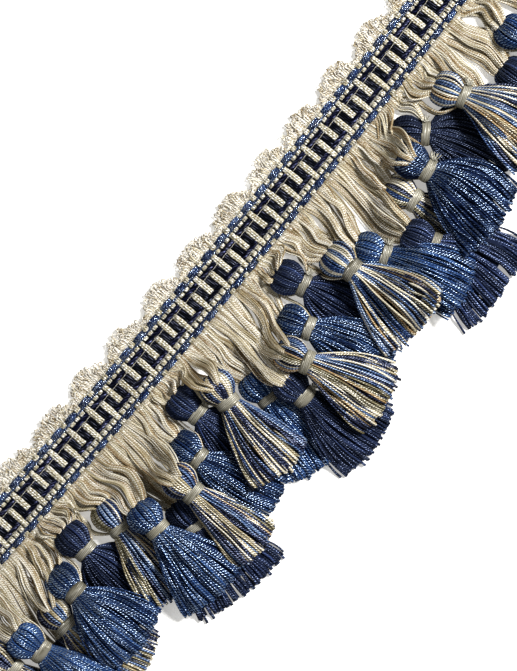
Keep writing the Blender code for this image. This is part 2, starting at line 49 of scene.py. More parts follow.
# One row for each tassel. First as its solids are laid: its yarn, where its hank begins on the strip, where
# its tie lies, its lean in degrees, half its skirt's width at the tips, the skirt's length and how far the
# hank swings aside. Then for the looks alone: over says how far down the head the hank's ribbons lie, and knot
# whether the binding's knot shows. turn is how far the head is turned on its neck, in degrees, bow how much
# further the hank swings, and fan how much wider than its solid the skirt opens. shade makes a blue or navy
# tassel's yarns lighter or deeper: painted light and painted shade. In a mixed tassel it picks a paler or
# deeper mix of colours.
tasselFields = "yarn lane tieX tieY lean spread skirt swing over knot turn bow fan shade"
Tassel = namedtuple("Tassel", tasselFields, defaults=(29, 0, 0, False, 0, 0, plainFan, 0))
tasselRows = [
    Tassel("navy", -155.0, -151.5, -27.0, 0, 9.0, 27),
    Tassel("mixed", -144.4, -144.2, -36.6, 0, 11.0),
    Tassel("blue", -137.5, -132.8, -39.7, 0, 12.0, turn=5, shade=0.35),
    Tassel("navy", -127.0, -127.5, -53.0, 0, 12.5, 26),
    Tassel("mixed", -117.0, -119.8, -40.6, 14, 12.0, over=4.2, turn=-15, fan=1.2),
    Tassel("blue", -109.5, -109.3, -35.2, 2, 13.0, 27, fan=1.15),
    Tassel("navy", -103.2, -96.3, -28.1, -1, 10.0, fan=1.5),
    Tassel("mixed", -89.4, -82.3, -32.2, -9.5, 12.0, 28, swing=-2, bow=-1, shade=-1),
    Tassel("blue", -77.5, -73.7, -42.4, -6, 13.9, swing=2),
    Tassel("navy", -68.0, -65.0, -52.1, -11, 18.0, 27),
    Tassel("mixed", -59.8, -55.8, -43.6, 0, 9.5, over=7.2, shade=-1),
    Tassel("blue", -51.0, -45.7, -37.3, 12, 9.5, turn=-7, fan=1.3, shade=-0.3),
    Tassel("navy", -40.0, -33.8, -26.8, -10, 10.0, knot=True, turn=13, fan=1.5),
    Tassel("mixed", -26.2, -23.7, -32.2, -8, 12.0, over=6.2, turn=-6, bow=-1),
    Tassel("blue", -17.5, -13.6, -42.7, -13, 10.5, 28, turn=4, fan=1.2, shade=0.25),
    Tassel("navy", -7.0, -4.9, -51.9, 5.6, 14.3, 28, over=5.2, knot=True, turn=-6),
    Tassel("mixed", 4.0, 4.9, -44.7, 11, 13.0, over=6.2, turn=5),
    Tassel("blue", 12.0, 14.4, -37.6, 9, 9.5, turn=10, fan=1.25),
    Tassel("navy", 18.0, 25.1, -26.5, 3, 10.0, swing=1, knot=True, turn=11, fan=1.5),
    Tassel("mixed", 31.8, 39.9, -36.4, -4.7, 13.2, turn=8, bow=-2, fan=1.16, shade=1),
    Tassel("blue", 46.0, 51.3, -42.4, 12, 10.5, knot=True, turn=9, fan=1.15, shade=0.15),
    Tassel("navy", 58.5, 64.9, -53.4, -3, 17.0, 27, swing=-1, turn=19, fan=1.15),
    Tassel("mixed", 68.5, 73.0, -38.2, 0, 10.0, turn=9, fan=1.2, shade=-1),
    Tassel("blue", 77.5, 84.0, -35.2, -4, 12.0, over=7.2, knot=True, turn=13, fan=1.3, shade=-0.6),
    Tassel("navy", 86.5, 93.9, -26.5, 5, 10.0, knot=True, turn=32, fan=1.6, shade=-0.3),
    Tassel("mixed", 100.5, 112.3, -29.0, 6, 14.5, swing=-2, knot=True, turn=9, shade=1),
    Tassel("blue", 114.5, 116.0, -43.5, 0, 11.0, 28),
    Tassel("navy", 123.5, 129.3, -44.6, 0, 13.0, bow=2),
    Tassel("blue", 134.0, 141.0, -35.0, 0, 11.5, bow=-2.5),
]

# The stations at which the solids' heads, skirts and hanks can be read
solids = {
    "headAlong": (0.0, 2.0, 5.8, 9.2, 13.0),
    "headHalfWidth": (3.9, 5.5, 6.2, 4.3, 4.3),
    "headLength": 13.0,
    "tieMiddle": 11.1,
    "neckWidth": 4.3,
    "neckHeight": 2.9,
    "neckColumn": 0.64,
    "skirtShares": (0.0, 0.3, 0.64, 1.0),
    "skirtFlare": (0.0, 0.42, 0.76, 1.0),
    # each lock of a skirt: its side of the neck, its centre and width at the tips, and its length
    "lowerLocks": ((-1, -0.68, 0.58, 0.97), (0, 0.0, 0.60, 1.04), (1, 0.68, 0.58, 0.95)),
    "upperLocks": ((-1, -0.50, 0.42, 0.92), (0, 0.06, 0.50, 1.00), (1, 0.56, 0.40, 0.94)),
    "stripFront": -12.2,
    "hankFirst": 2.4,
    "hankRun": 6.0,
    "hankWidth": 2.2,
    "hankPitch": 2.75,
    "gap": 0.34,
}


def wrapPlan(points):
    turn = points[..., 0] / bowRadius
    reach = bowRadius - points[..., 1]
    return np.stack((reach * np.sin(turn), bowRadius - reach * np.cos(turn), points[..., 2]), -1) * mm


def planOf(node):
    # a node's points, back on the straight plan
    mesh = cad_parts[node].data
    flat = np.zeros(len(mesh.vertices) * 3)
    mesh.vertices.foreach_get("co", flat)
    x, y, z = (flat / mm).reshape(-1, 3).T
    return np.stack((np.arctan2(x, bowRadius - y) * bowRadius, bowRadius - np.hypot(x, bowRadius - y), z), -1)


def heightsAt(points, places, near=0.1):
    # lowest and highest point of a node at each place of its plan
    away = np.hypot(points[None, :, 0] - places[:, None, 0], points[None, :, 1] - places[:, None, 1])
    here = away < near
    low = np.where(here, points[None, :, 2], np.inf).min(1)
    high = np.where(here, points[None, :, 2], -np.inf).max(1)
    return low, high


def wave(turns):
    # a sine wave, counted in whole turns
    return np.sin(2 * math.pi * turns)


def ease(share):
    # from 0 to 1, slow at both ends
    return share * share * (3 - 2 * share)


def pathOf(x, y, z):
    # a path from its three coordinates; a plain number holds all along it
    return np.stack(np.broadcast_arrays(x, y, z), -1)


def lifted(plan, height):
    # places in plan, at their heights
    return np.concatenate((plan, height[..., None]), -1)


def relax(lines, rounds):
    # evens each line out between its ends
    for _ in range(rounds):
        lines[:, 1:-1] = (lines[:, :-2] + 2 * lines[:, 1:-1] + lines[:, 2:]) / 4


def smoothLine(controls, count):
    # a smooth run of stations through control points; the first axis holds the yarns
    knots = np.cumsum(np.linalg.norm(np.diff(controls.mean(0), axis=0), axis=1))
    knots = np.append(0, knots) / knots[-1]
    last = len(knots) - 1
    k = np.arange(last + 1)
    before, after = np.maximum(k - 1, 0), np.minimum(k + 1, last)
    slope = (controls[:, after] - controls[:, before]) / (knots[after] - knots[before])[:, None]
    place = np.linspace(0, 1, count)
    k = np.minimum(np.searchsorted(knots, place, side="right"), last) - 1
    span = (knots[k + 1] - knots[k])[:, None]
    f = (place - knots[k])[:, None] / span
    line = (1 - ease(f)) * controls[:, k] + ease(f) * controls[:, k + 1]
    return line + span * ((f ** 3 - 2 * f ** 2 + f) * slope[:, k] + (f ** 3 - f ** 2) * slope[:, k + 1])


def addPiece(name, mesh, material):
    mesh.materials.append(material)
    piece = bpy.data.objects.new(name, mesh)
    bpy.context.scene.collection.objects.link(piece)
    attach(piece, "root")
    return piece


class Yarns:
    # Gathers tubes of yarn into a mesh. Its UV map holds the millimetres along a yarn and the way round it.
    def __init__(self):
        self.points, self.faces, self.uvs, self.tones, self.kinds = [], [], [], [], []
        self.total = 0

    def lay(self, paths, wide, tall=None, sides=4, tone=0.5, kind=0.5, paintedShadeInside=False):
        # one path or many of the same length; wide and tall are half the yarn's width and height
        paths = np.asarray(paths, float)
        if paths.ndim == 2:
            paths = paths[None]
        many, stations = paths.shape[:2]
        wide = np.broadcast_to(wide, (many, stations))
        tall = wide if tall is None else np.broadcast_to(tall, (many, stations))
        ahead = np.gradient(paths, axis=1)
        ahead /= np.linalg.norm(ahead, axis=2, keepdims=True) + 1e-12
        side = np.zeros_like(paths)
        start = np.cross((0.0, 0.0, 1.0), ahead[:, 0])
        start[np.linalg.norm(start, axis=1) < 1e-3] = (1.0, 0.0, 0.0)
        for k in range(stations):
            start = start - (start * ahead[:, k]).sum(1, keepdims=True) * ahead[:, k]
            start /= np.linalg.norm(start, axis=1, keepdims=True) + 1e-12
            side[:, k] = start
        up = np.cross(ahead, side)
        turn = 2 * math.pi * np.arange(sides) / sides
        ring = paths[:, :, None] + (wide[..., None] * np.cos(turn))[..., None] * side[:, :, None]
        ring = ring + (tall[..., None] * np.sin(turn))[..., None] * up[:, :, None]
        along = np.linalg.norm(np.diff(paths, axis=1), axis=2)
        along = np.concatenate((np.zeros((many, 1)), np.cumsum(along, axis=1)), axis=1)
        first = self.total + np.arange(many)[:, None, None] * stations * sides
        here = first + np.arange(stations - 1)[None, :, None] * sides
        one = np.arange(sides)
        two = (one + 1) % sides
        quads = np.stack((here + one, here + two, here + two + sides, here + one + sides), -1)
        u = np.stack((along[:, :-1], along[:, :-1], along[:, 1:], along[:, 1:]), -1)[:, :, None]
        v = np.stack((one, one + 1, one + 1, one), -1) / sides
        uv = np.stack(np.broadcast_arrays(u, v), -1)
        if paintedShadeInside:
            # no twist, and painted shade all over: as dark as the grooves between the yarns around it
            uv, tone = 0 * uv, 0.0
        self.faces.append(quads.reshape(-1, 4))
        self.uvs.append(uv.reshape(-1, 4, 2))
        for base, order in ((0, np.arange(sides)[::-1]), ((stations - 1) * sides, np.arange(sides))):
            self.faces.append((first[:, 0] + base + order[None, :]).reshape(-1, sides))
            self.uvs.append(np.full((many, sides, 2), 0.25))
        self.points.append(ring.reshape(-1, 3))
        for store, value in ((self.tones, tone), (self.kinds, kind)):
            store.append(np.repeat(np.broadcast_to(np.asarray(value, float), (many,)), stations * sides))
        self.total += many * stations * sides

    def make(self, name, material, slot):
        mesh = bpy.data.meshes.new(name)
        points = wrapPlan(np.concatenate(self.points))
        mesh.vertices.add(len(points))
        mesh.vertices.foreach_set("co", points.astype(np.float32).ravel())
        loops = np.concatenate([faces.ravel() for faces in self.faces])
        sizes = np.concatenate([np.full(len(faces), faces.shape[1]) for faces in self.faces])
        mesh.loops.add(len(loops))
        mesh.loops.foreach_set("vertex_index", loops.astype(np.int32))
        mesh.polygons.add(len(sizes))
        starts = np.concatenate(((0,), np.cumsum(sizes)[:-1]))
        mesh.polygons.foreach_set("loop_start", starts.astype(np.int32))
        mesh.update(calc_edges=True)
        uvs = np.concatenate([uv.reshape(-1, 2) for uv in self.uvs])
        mesh.uv_layers.new(name="yarn").data.foreach_set("uv", uvs.astype(np.float32).ravel())
        for label, values in (("tone", self.tones), ("kind", self.kinds)):
            layer = mesh.attributes.new(label, "FLOAT", "POINT")
            layer.data.foreach_set("value", np.concatenate(values).astype(np.float32))
        mesh.polygons.foreach_set("use_smooth", np.ones(len(sizes), bool))
        return addPiece(name, mesh, material)


# Shader nodes, and the groups that every yarn shares

def feed(tree, node, inputs):
    # each input takes a plain value or another node's output
    for label, value in inputs.items():
        if isinstance(value, bpy.types.NodeSocket):
            tree.links.new(value, node.inputs[label])
        else:
            node.inputs[label].default_value = value


def addNode(tree, kind, inputs=None, **settings):
    node = tree.nodes.new("ShaderNode" + kind)
    for label, value in settings.items():
        setattr(node, label, value)
    feed(tree, node, inputs or {})
    return node


def mathNode(tree, operation, *values, clamp=False):
    return addNode(tree, "Math", dict(enumerate(values)), operation=operation, use_clamp=clamp).outputs[0]


def newMaterial(name):
    material = bpy.data.materials.new(name)
    material.use_nodes = True
    return material, material.node_tree, material.node_tree.nodes["Principled BSDF"]


def newGroup(name, inputs, outputs):
    group = bpy.data.node_groups.new(name, "ShaderNodeTree")
    for label, value in inputs.items():
        socket = group.interface.new_socket(name=label, in_out="INPUT", socket_type="NodeSocketFloat")
        socket.default_value = value
    for label in outputs:
        group.interface.new_socket(name=label, in_out="OUTPUT", socket_type="NodeSocketFloat")
    return group, group.nodes.new("NodeGroupInput").outputs, group.nodes.new("NodeGroupOutput").inputs


def attribute(tree, name):
    return addNode(tree, "Attribute", attribute_name=name).outputs["Fac"]


def yarnPlace(tree):
    # how far along its yarn a point lies, how far round it, and the yarn's own tone
    split = addNode(tree, "SeparateXYZ", {0: addNode(tree, "UVMap", uv_map="yarn").outputs[0]})
    return split.outputs[0], split.outputs[1], attribute(tree, "tone")


# how far a yarn's tone shifts its twist, its beads and its fibres, so that no two yarns are alike
shiftByTone = {"twist": 7.0, "beads": 91.0, "fibres": 61.0}


def makePlyGroup():
    # The plies of a twisted yarn: high on each ply, low in the groove between them. Each ply swells and thins
    # again at the given bead length, out of step with its neighbours.
    inputs = {"Pitch": 3.0, "Plies": 2.0, "Bead": 1.2, "Beading": 0.5}
    group, given, out = newGroup("plyTwist", inputs, ["Ply"])
    along, around, tone = yarnPlace(group)
    turns = mathNode(group, "ADD", mathNode(group, "DIVIDE", along, given["Pitch"]), around)
    turns = mathNode(group, "ADD", turns, mathNode(group, "MULTIPLY", tone, shiftByTone["twist"]))
    turns = mathNode(group, "MULTIPLY", turns, given["Plies"])
    ply = mathNode(group, "ABSOLUTE", mathNode(group, "SINE", mathNode(group, "MULTIPLY", turns, math.pi)))
    place = addNode(group, "CombineXYZ", {
        0: mathNode(group, "FLOOR", turns),
        1: mathNode(group, "MULTIPLY", tone, shiftByTone["beads"]),
    })
    chance = addNode(group, "TexWhiteNoise", {"Vector": place.outputs[0]})
    beads = mathNode(group, "ADD", mathNode(group, "DIVIDE", along, given["Bead"]), chance.outputs[0])
    beads = mathNode(group, "SINE", mathNode(group, "MULTIPLY", beads, 2 * math.pi))
    beads = mathNode(group, "MULTIPLY_ADD", beads, 0.5, -0.5)
    beads = mathNode(group, "ADD", mathNode(group, "MULTIPLY", beads, given["Beading"]), 1.0)
    group.links.new(mathNode(group, "MULTIPLY", ply, beads), out["Ply"])
    return group


def makeFibreGroup():
    # soft streaks of light and dark fibre, drawn out along the yarn, different on each one
    group, given, out = newGroup("fibreStreaks", {"Length": 6.0, "Fineness": 3.0}, ["Streak", "Fleck"])
    along, around, tone = yarnPlace(group)
    place = addNode(group, "CombineXYZ", {
        0: mathNode(group, "DIVIDE", along, given["Length"]),
        1: mathNode(group, "MULTIPLY", around, given["Fineness"]),
        2: mathNode(group, "MULTIPLY", tone, shiftByTone["fibres"]),
    })
    for label, scale, detail in (("Streak", 1.0, 2.0), ("Fleck", 6.0, 1.0)):
        noise = addNode(group, "TexNoise", {"Scale": scale, "Detail": detail, "Vector": place.outputs[0]})
        group.links.new(noise.outputs[0], out[label])
    return group


def fromScreen(red, green, blue):
    # a colour as it is seen on a screen, 0 to 255, to the linear one that a shader takes
    linear = [((c / 255 + 0.055) / 1.055) ** 2.4 if c > 10 else c / 255 / 12.92 for c in (red, green, blue)]
    return (*linear, 1.0)


# Yarns and threads. Their colours are as seen on a screen.

ecruYarn = (185, 175, 149)
oliveYarn = (148, 141, 116)
paleYarn = (215, 209, 192)
tanYarn = (178, 157, 124)
inkYarn = (37, 45, 76)
steelYarn = (102, 124, 158)
blueYarn = (56, 80, 122)
navyYarn = (26, 32, 58)


def lookOf(colours, twist, **own):
    # a look with the values that most yarns share, unless it has its own
    shared = {"steps": "LINEAR", "glossTint": (1.0, 1.0, 1.0), "fibre": 6.0, "grain": 0.8, "spread": 0.8}
    return {**shared, "bump": 1.0, "colours": colours, "twist": twist, **own}


# twist: the pitch and number of the plies, the length of a bead and how deep the beads are. sharp narrows the
# plies' crests. streak, fibre and grain: how strong the streaks are, how long, and how strong the flecks are.
# spread is how much yarns differ. rim darkens a yarn's sides as painted shade, and gain brightens its crests
# as painted highlight. deep and glint are the gamma of the painted shade in the grooves and of the painted
# highlight on the crests. rare and metal say how few of the glints shine, and how
# much. With CONSTANT steps the colours don't run into one another.
looks = {
    "ecru": lookOf([(172, 153, 122), ecruYarn, paleYarn], (1.8, 2, 1.9, 0.4),
                   roughness=0.4, gloss=0.3, sharp=0.9, streak=1.5, rim=1.0, gain=1.3,
                   deep=2.6, glint=0.26, bump=0.9, rare=3.0, metal=0.2),
    "picot": lookOf([(170, 155, 125), (222, 216, 199)], (2.0, 2, 1.1, 0.2),
                    roughness=0.5, gloss=0.25, sharp=0.8, streak=1.4, fibre=2.5, grain=1.6, rim=1.1,
                    gain=1.55, deep=3.2, glint=0.2, bump=0.6, rare=3.0, metal=0.1),
    "weft": lookOf([(180, 173, 152), (222, 218, 205)], (2.8, 2, 1.4, 0.9),
                   roughness=0.42, gloss=0.3, sharp=1.3, streak=1.0, fibre=3.0, grain=3.0, rim=0.4, gain=1.9,
                   spread=0.7, deep=3.0, glint=0.1, rare=3.0, metal=0.15),
    "navy": lookOf([(22, 27, 42), (34, 42, 65), (56, 69, 106)], (2.0, 2, 2.6, 0.4),
                   roughness=0.32, gloss=0.1, glossTint=(0.65, 0.78, 1.0), sharp=2.0, streak=1.8, fibre=8.0,
                   rim=0.45, gain=1.8, spread=1.1, deep=1.3, glint=0.58, rare=1.2, metal=1.0),
    "blue": lookOf([(34, 52, 86), (52, 75, 114), (76, 106, 150)], (2.4, 2, 3.1, 0.3),
                   roughness=0.3, gloss=0.13, glossTint=(0.65, 0.8, 1.0), sharp=2.3, streak=2.2, fibre=9.0,
                   grain=0.7, rim=0.5, gain=2.1, spread=1.1, deep=1.9, glint=0.33, rare=1.4, metal=1.0),
    "mixed": lookOf([ecruYarn, inkYarn, paleYarn, oliveYarn, navyYarn, blueYarn, steelYarn, tanYarn],
                    (2.2, 2, 3.1, 0.3), steps="CONSTANT",
                    roughness=0.36, gloss=0.14, glossTint=(0.94, 0.97, 1.0), sharp=1.5, streak=1.3,
                    rim=0.7, gain=1.5, spread=0.7, deep=2.2, glint=0.36, rare=1.4, metal=0.6),
    "satin": lookOf([(118, 114, 101), (152, 148, 133)], (14.0, 2, 9.0, 0.0),
                    roughness=0.34, gloss=0.35, glossTint=(1.0, 1.0, 0.96), sharp=0.5, streak=1.4, grain=0.0,
                    rim=0.7, gain=1.05, spread=0.3, deep=2.0, glint=0.6, bump=0.4, rare=1.0, metal=0.4),
    "key": lookOf([(5, 6, 10), (9, 10, 20), (22, 25, 58)], (9.0, 2, 3.0, 0.3),
                  roughness=0.34, gloss=0.07, glossTint=(0.6, 0.7, 1.0), sharp=1.2, streak=1.6, grain=0.5,
                  rim=1.0, gain=1.6, deep=1.7, glint=0.5, bump=0.4, rare=1.2, metal=0.8),
    "stripe": lookOf([(14, 24, 54), (20, 36, 76), (36, 62, 112)], (1.8, 2, 1.1, 0.5),
                     roughness=0.22, gloss=0.13, glossTint=(0.7, 0.85, 1.0), sharp=2.0, streak=2.2, fibre=3.0,
                     grain=1.4, rim=0.6, gain=2.6, deep=1.6, glint=0.16, rare=1.2, metal=1.0),
}
# the middles of the masks, how much duller a groove is than a crest, and how the flecks and plies stand out
surface = {"streakMiddle": 0.62, "middle": 0.5, "dull": 0.5, "fleckRelief": 0.35, "plyRelief": 0.22 * mm}
plyGroup = makePlyGroup()
fibreGroup = makeFibreGroup()


def factorAbout(tree, mask, strength, middle):
    # a factor that is 1 where the mask is at its middle
    return mathNode(tree, "MULTIPLY_ADD", mask, strength, 1.0 - strength * middle)


def yarnMaterial(name, look):
    # One twisted yarn. Its kind picks the colour, and a gamma deepens that in the grooves as painted shade and
    # lifts it to a pale glint, a painted highlight, on the crest of each ply.
    material, tree, shader = newMaterial(name)
    ramp = addNode(tree, "ValToRGB", {0: attribute(tree, "kind")})
    ramp.color_ramp.interpolation = look["steps"]
    stops = ramp.color_ramp.elements
    while len(stops) < len(look["colours"]):
        stops.new(0.5)
    gap = 1 / (len(stops) - (look["steps"] == "LINEAR"))
    for k, colour in enumerate(look["colours"]):
        stops[k].position = k * gap
        stops[k].color = fromScreen(*colour)
    twist = dict(zip(("Pitch", "Plies", "Bead", "Beading"), look["twist"]))
    ply = addNode(tree, "Group", twist, node_tree=plyGroup).outputs["Ply"]
    fibre = addNode(tree, "Group", {"Length": look["fibre"]}, node_tree=fibreGroup).outputs
    # light: 0 in the grooves, up to 1 on the brightest crests; it paints the shade and the highlight into the
    # colour
    light = mathNode(tree, "POWER", ply, look["sharp"])
    # facing grows toward a yarn's sides as the camera sees them, and with rim it darkens them: painted shade
    facing = mathNode(tree, "POWER", addNode(tree, "LayerWeight", {"Blend": 0.5}).outputs["Facing"], 2.0)
    factors = (
        factorAbout(tree, fibre["Streak"], look["streak"], surface["streakMiddle"]),
        factorAbout(tree, attribute(tree, "tone"), look["spread"], surface["middle"]),
        mathNode(tree, "MULTIPLY_ADD", facing, -look["rim"], 1.0),
        factorAbout(tree, fibre["Fleck"], look["grain"], surface["middle"]),
    )
    for factor in factors:
        light = mathNode(tree, "MULTIPLY", light, factor)
    light = mathNode(tree, "MULTIPLY", light, look["gain"], clamp=True)
    # the gamma: deep gives the painted shade in the grooves, glint the painted highlight on the crests
    power = mathNode(tree, "MULTIPLY_ADD", light, look["glint"] - look["deep"], look["deep"])
    relief = mathNode(tree, "MULTIPLY_ADD", fibre["Fleck"], surface["fleckRelief"], ply)
    bump = {"Strength": look["bump"], "Distance": surface["plyRelief"], "Height": relief}
    dull = look["roughness"] + surface["dull"]
    feed(tree, shader, {
        "Base Color": addNode(tree, "Gamma", {0: ramp.outputs[0], 1: power}).outputs[0],
        "Metallic": mathNode(tree, "MULTIPLY", mathNode(tree, "POWER", light, look["rare"]), look["metal"]),
        "Roughness": mathNode(tree, "MULTIPLY_ADD", light, -surface["dull"], dull),
        "Normal": addNode(tree, "Bump", bump).outputs[0],
        "Specular IOR Level": look["gloss"],
        "Specular Tint": (*look["glossTint"], 1.0),
    })
    return material


materials = {name: yarnMaterial(name + "Yarn", look) for name, look in looks.items()}


def groundMaterial():
    # the plain close ground under the braid's picks
    material, tree, shader = newMaterial("groundCloth")
    where = addNode(tree, "TexCoord").outputs["Object"]
    thread = {"Vector": where, "Scale": 520.0, "Distortion": 1.0}
    height = mathNode(tree, "MULTIPLY", *[
        addNode(tree, "TexWave", thread, bands_direction=direction).outputs[1] for direction in ("X", "Y")])
    # inputs 0, 6 and 7 of a colour mix are its factor and its two colours
    # the colour follows the threads' height, darker between them and lighter on them: painted shade and light
    mix = addNode(tree, "Mix", data_type="RGBA")
    feed(tree, mix, {0: height, 6: fromScreen(12, 13, 20), 7: fromScreen(30, 32, 44)})
    bump = addNode(tree, "Bump", {"Strength": 0.6, "Distance": 0.1 * mm, "Height": height})
    feed(tree, shader, {"Base Color": mix.outputs[2], "Roughness": 0.85, "Normal": bump.outputs[0]})
    return material


# Braid heading

braid = {
    "clothBottom": 0.05, "clothTop": 0.55, "clothLow": -10.6, "clothHigh": 8.2, "columns": 248, "rows": 12,
    "picks": 61, "longStations": 497,
    "deep": 0.3, "over": 1.5,            # heights of a weft yarn inside the cloth and over a warp
    "weftEnd": 0.5, "weftRadius": 0.4,
    # the weft's stations, closer where it dives
    "weftRuns": ((-11.0, -4.6, 18), (-3.4, 1.2, 6), (1.8, 8.6, 20)),
    # how far its three strands lie apart, and how much further in a bar and beside a dash
    "strands": 0.58, "barMore": 0.16, "dashMore": 0.16,
    "stays": ((2.1, 0.09), (-4.75, 0.08)),
    "floatLow": -3.6, "floatHigh": 2.9, "floatRadius": 0.42, "floatGap": 0.74,
    "cordHigh": 3.3, "cordLow": -3.6, "cordHalf": 4.0, "cordPitch": 4.2, "cordRise": 0.85, "cordStrand": 0.45,
    "dashHigh": 6.95, "dashLow": -8.2, "dashHalf": 2.75, "dashRise": 1.4, "dashGap": 0.47, "dashRadius": 0.3,
    "dashInner": (5.8, -7.05), "dashInnerGap": 0.24,
}


def weftHeights(y, k):
    # how high the ecru weft of pick k rides at each y: over some rows and under others
    bar = k % 4
    over = [(-11.0, -9.1), (-6.5, -4.9), (4.3, 5.4), (7.8, 8.6)]
    over += [(-9.4, -7.6), (6.3, 8.0)] if k % 3 == 0 else []
    if bar == 1:
        over += [(-2.75, 5.0)]
    elif bar == 3:
        over += [(-5.4, 1.95)]
    height = np.zeros_like(y)
    for low, high in over:
        rise = np.clip((y - low) / 0.35, 0, 1) * np.clip((high - y) / 0.35, 0, 1)
        height = np.maximum(height, ease(rise))
    height = braid["deep"] + (braid["over"] - braid["deep"]) * height
    # it dips where it crosses single yarns
    nicks = [(-9.0, 0.3), (-6.0, 0.35), (5.2, 0.35), (7.6, 0.2), (2.1 if bar == 1 else -2.9, 0.25)]
    for nick, depth in nicks:
        height -= depth * np.exp(-((y - nick) / 0.25) ** 2) * (height > 1)
    return height


def weaveWeft(rng):
    weft = Yarns()
    y = np.concatenate([np.linspace(*run) for run in braid["weftRuns"]])
    for k in range(-braid["picks"], braid["picks"] + 1):
        heights = weftHeights(y, k)
        heights[0] = heights[-1] = braid["weftEnd"]
        inBar = np.clip((4.2 - np.abs(y + 0.2)) / 1.2, 0, 1) * (heights > 1)
        besideDash = (k % 3 == 0) * (heights > 1) * ((y > 6.2) | (y < -7.5))
        gap = braid["strands"] + braid["barMore"] * inBar + braid["dashMore"] * besideDash
        for strand in (-1, 0, 1):
            x = k * pick + strand * gap + 0.04 * rng.normal()
            swell = 1.0 - 0.22 * abs(strand)
            z = braid["deep"] + (heights - braid["deep"]) * swell + 0.03 * rng.normal()
            path = pathOf(x, y, z)
            for axis, uneven in ((2, 0.1), (0, 0.05)):
                path[1:-1, axis] += uneven * rng.normal(size=len(y) - 2) * (heights[1:-1] > 1)
            weft.lay(path, braid["weftRadius"], tone=rng.random(), kind=0.5 + 0.5 * rng.random())
    # the fine ecru threads beside the navy cords, caught down between the bars
    spot = np.linspace(-halfLength, halfLength, braid["longStations"])
    for yRow, radius in braid["stays"]:
        y = yRow + 0.05 * wave(spot / pick)
        z = 1.35 + 0.3 * np.cos(math.pi * spot / pick)
        weft.lay(pathOf(spot, y, z), radius, tone=0.9, kind=0.9)
    return weft.make("braid_weft", materials["weft"], "braid")


def weaveKey(rng):
    key = Yarns()
    # navy floats across the band, between the bars
    end = halfLength - 0.4
    low, high = braid["floatLow"], braid["floatHigh"]
    y = np.linspace(low, high, 10)
    hump = np.clip((y - low) / 0.6, 0, 1) * np.clip((high - y) / 0.6, 0, 1)
    for k in range(-braid["picks"] - 1, braid["picks"] + 2, 2):
        for strand in (-1, 0, 1):
            x = np.clip(k * pick + strand * braid["floatGap"], -end, end)
            z = 0.5 + 0.5 * hump - 0.06 * abs(strand)
            # the strand toward the key lamp takes a lighter colour and the far one a darker: painted highlight
            # and shade
            key.lay(pathOf(x, y, z), braid["floatRadius"], tone=rng.random(), kind=0.2 + 0.25 * strand)
    # cords of three strands twisted together, each floating over three picks
    half = braid["cordHalf"]
    spot = np.linspace(-half, half, 27)
    dip = np.clip((half - np.abs(spot)) / 0.7, 0, 1)
    for rest, yRow in ((3, braid["cordHigh"]), (1, braid["cordLow"])):
        for k in range(-braid["picks"], braid["picks"] + 1):
            if k % 4 != rest:
                continue
            for strand in range(3):
                turn = 2 * math.pi * (spot / braid["cordPitch"] + strand / 3)
                z = 0.55 + braid["cordRise"] * dip + 0.42 * np.sin(turn) * dip
                path = pathOf(k * pick + spot, yRow + 0.48 * np.cos(turn), z)
                key.lay(path, braid["cordStrand"], tone=rng.random(), kind=0.5 + 0.3 * rng.random())
    return key.make("braid_key", materials["key"], "braid")


def weaveStripes(rng):
    # a row of blue dashes along each edge, and two plain blue yarns inside it
    stripes = Yarns()
    half, radius = braid["dashHalf"], braid["dashRadius"]
    spot = np.linspace(-half, half, 12)
    dip = 1 - (spot / half) ** 2
    for yRow in (braid["dashHigh"], braid["dashLow"]):
        for k in range(-braid["picks"] - 1, braid["picks"] + 1):
            middle = (k + 0.5) * pick
            if k % 3 != 1 or abs(middle) > halfLength - 2.5:
                continue
            for strand in (-1.5, -0.5, 0.5, 1.5):
                z = 0.4 + braid["dashRise"] * dip - 0.09 * abs(strand) + 0.03 * rng.normal()
                path = pathOf(middle + spot, yRow + strand * braid["dashGap"], z)
                stripes.lay(path, radius, sides=5, tone=rng.random(), kind=rng.random())
    spot = np.linspace(-halfLength, halfLength, braid["longStations"])
    z = 0.95 + 0.2 * np.cos(2 * math.pi * (spot / pick + 0.5))
    for yRow in braid["dashInner"]:
        for side in (-1, 1):
            y = yRow + side * braid["dashInnerGap"]
            stripes.lay(pathOf(spot, y, z), radius, tone=rng.random(), kind=0.2)
    return stripes.make("braid_stripes", materials["stripe"], "braid")


def weaveGround():
    # a thin closed sheet
    xs = np.linspace(-halfLength, halfLength, braid["columns"] + 1)
    ys = np.linspace(braid["clothLow"], braid["clothHigh"], braid["rows"] + 1)
    grid = np.stack(np.meshgrid(xs, ys, indexing="ij"), -1).reshape(-1, 2)
    levels = (braid["clothBottom"], braid["clothTop"])
    vertices = wrapPlan(np.array([(x, y, z) for z in levels for x, y in grid]))
    top, step = len(grid), len(ys)
    faces = []
    for i in range(braid["columns"]):
        for j in range(braid["rows"]):
            a = i * step + j
            faces.append((a, a + 1, a + 1 + step, a + step))
            faces.append((top + a, top + a + step, top + a + step + 1, top + a + 1))
    # the rim, once round the sheet
    index = np.arange(top).reshape(-1, step)
    rim = np.concatenate((index[:-1, 0], index[-1, :-1], index[:0:-1, -1], index[0, :0:-1])).tolist()
    faces += [(a, b, top + b, top + a) for a, b in zip(rim, rim[1:] + rim[:1])]
    mesh = bpy.data.meshes.new("braid_ground")
    mesh.from_pydata(vertices.tolist(), [], faces)
    ground = addPiece("braid_ground", mesh, groundMaterial())
    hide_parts("heading")
    return ground


def buildBraid():
    rng = np.random.default_rng(11)
    onGround = [weaveWeft(rng), weaveKey(rng), weaveStripes(rng)]
    return weaveGround(), onGround


# Picot loops

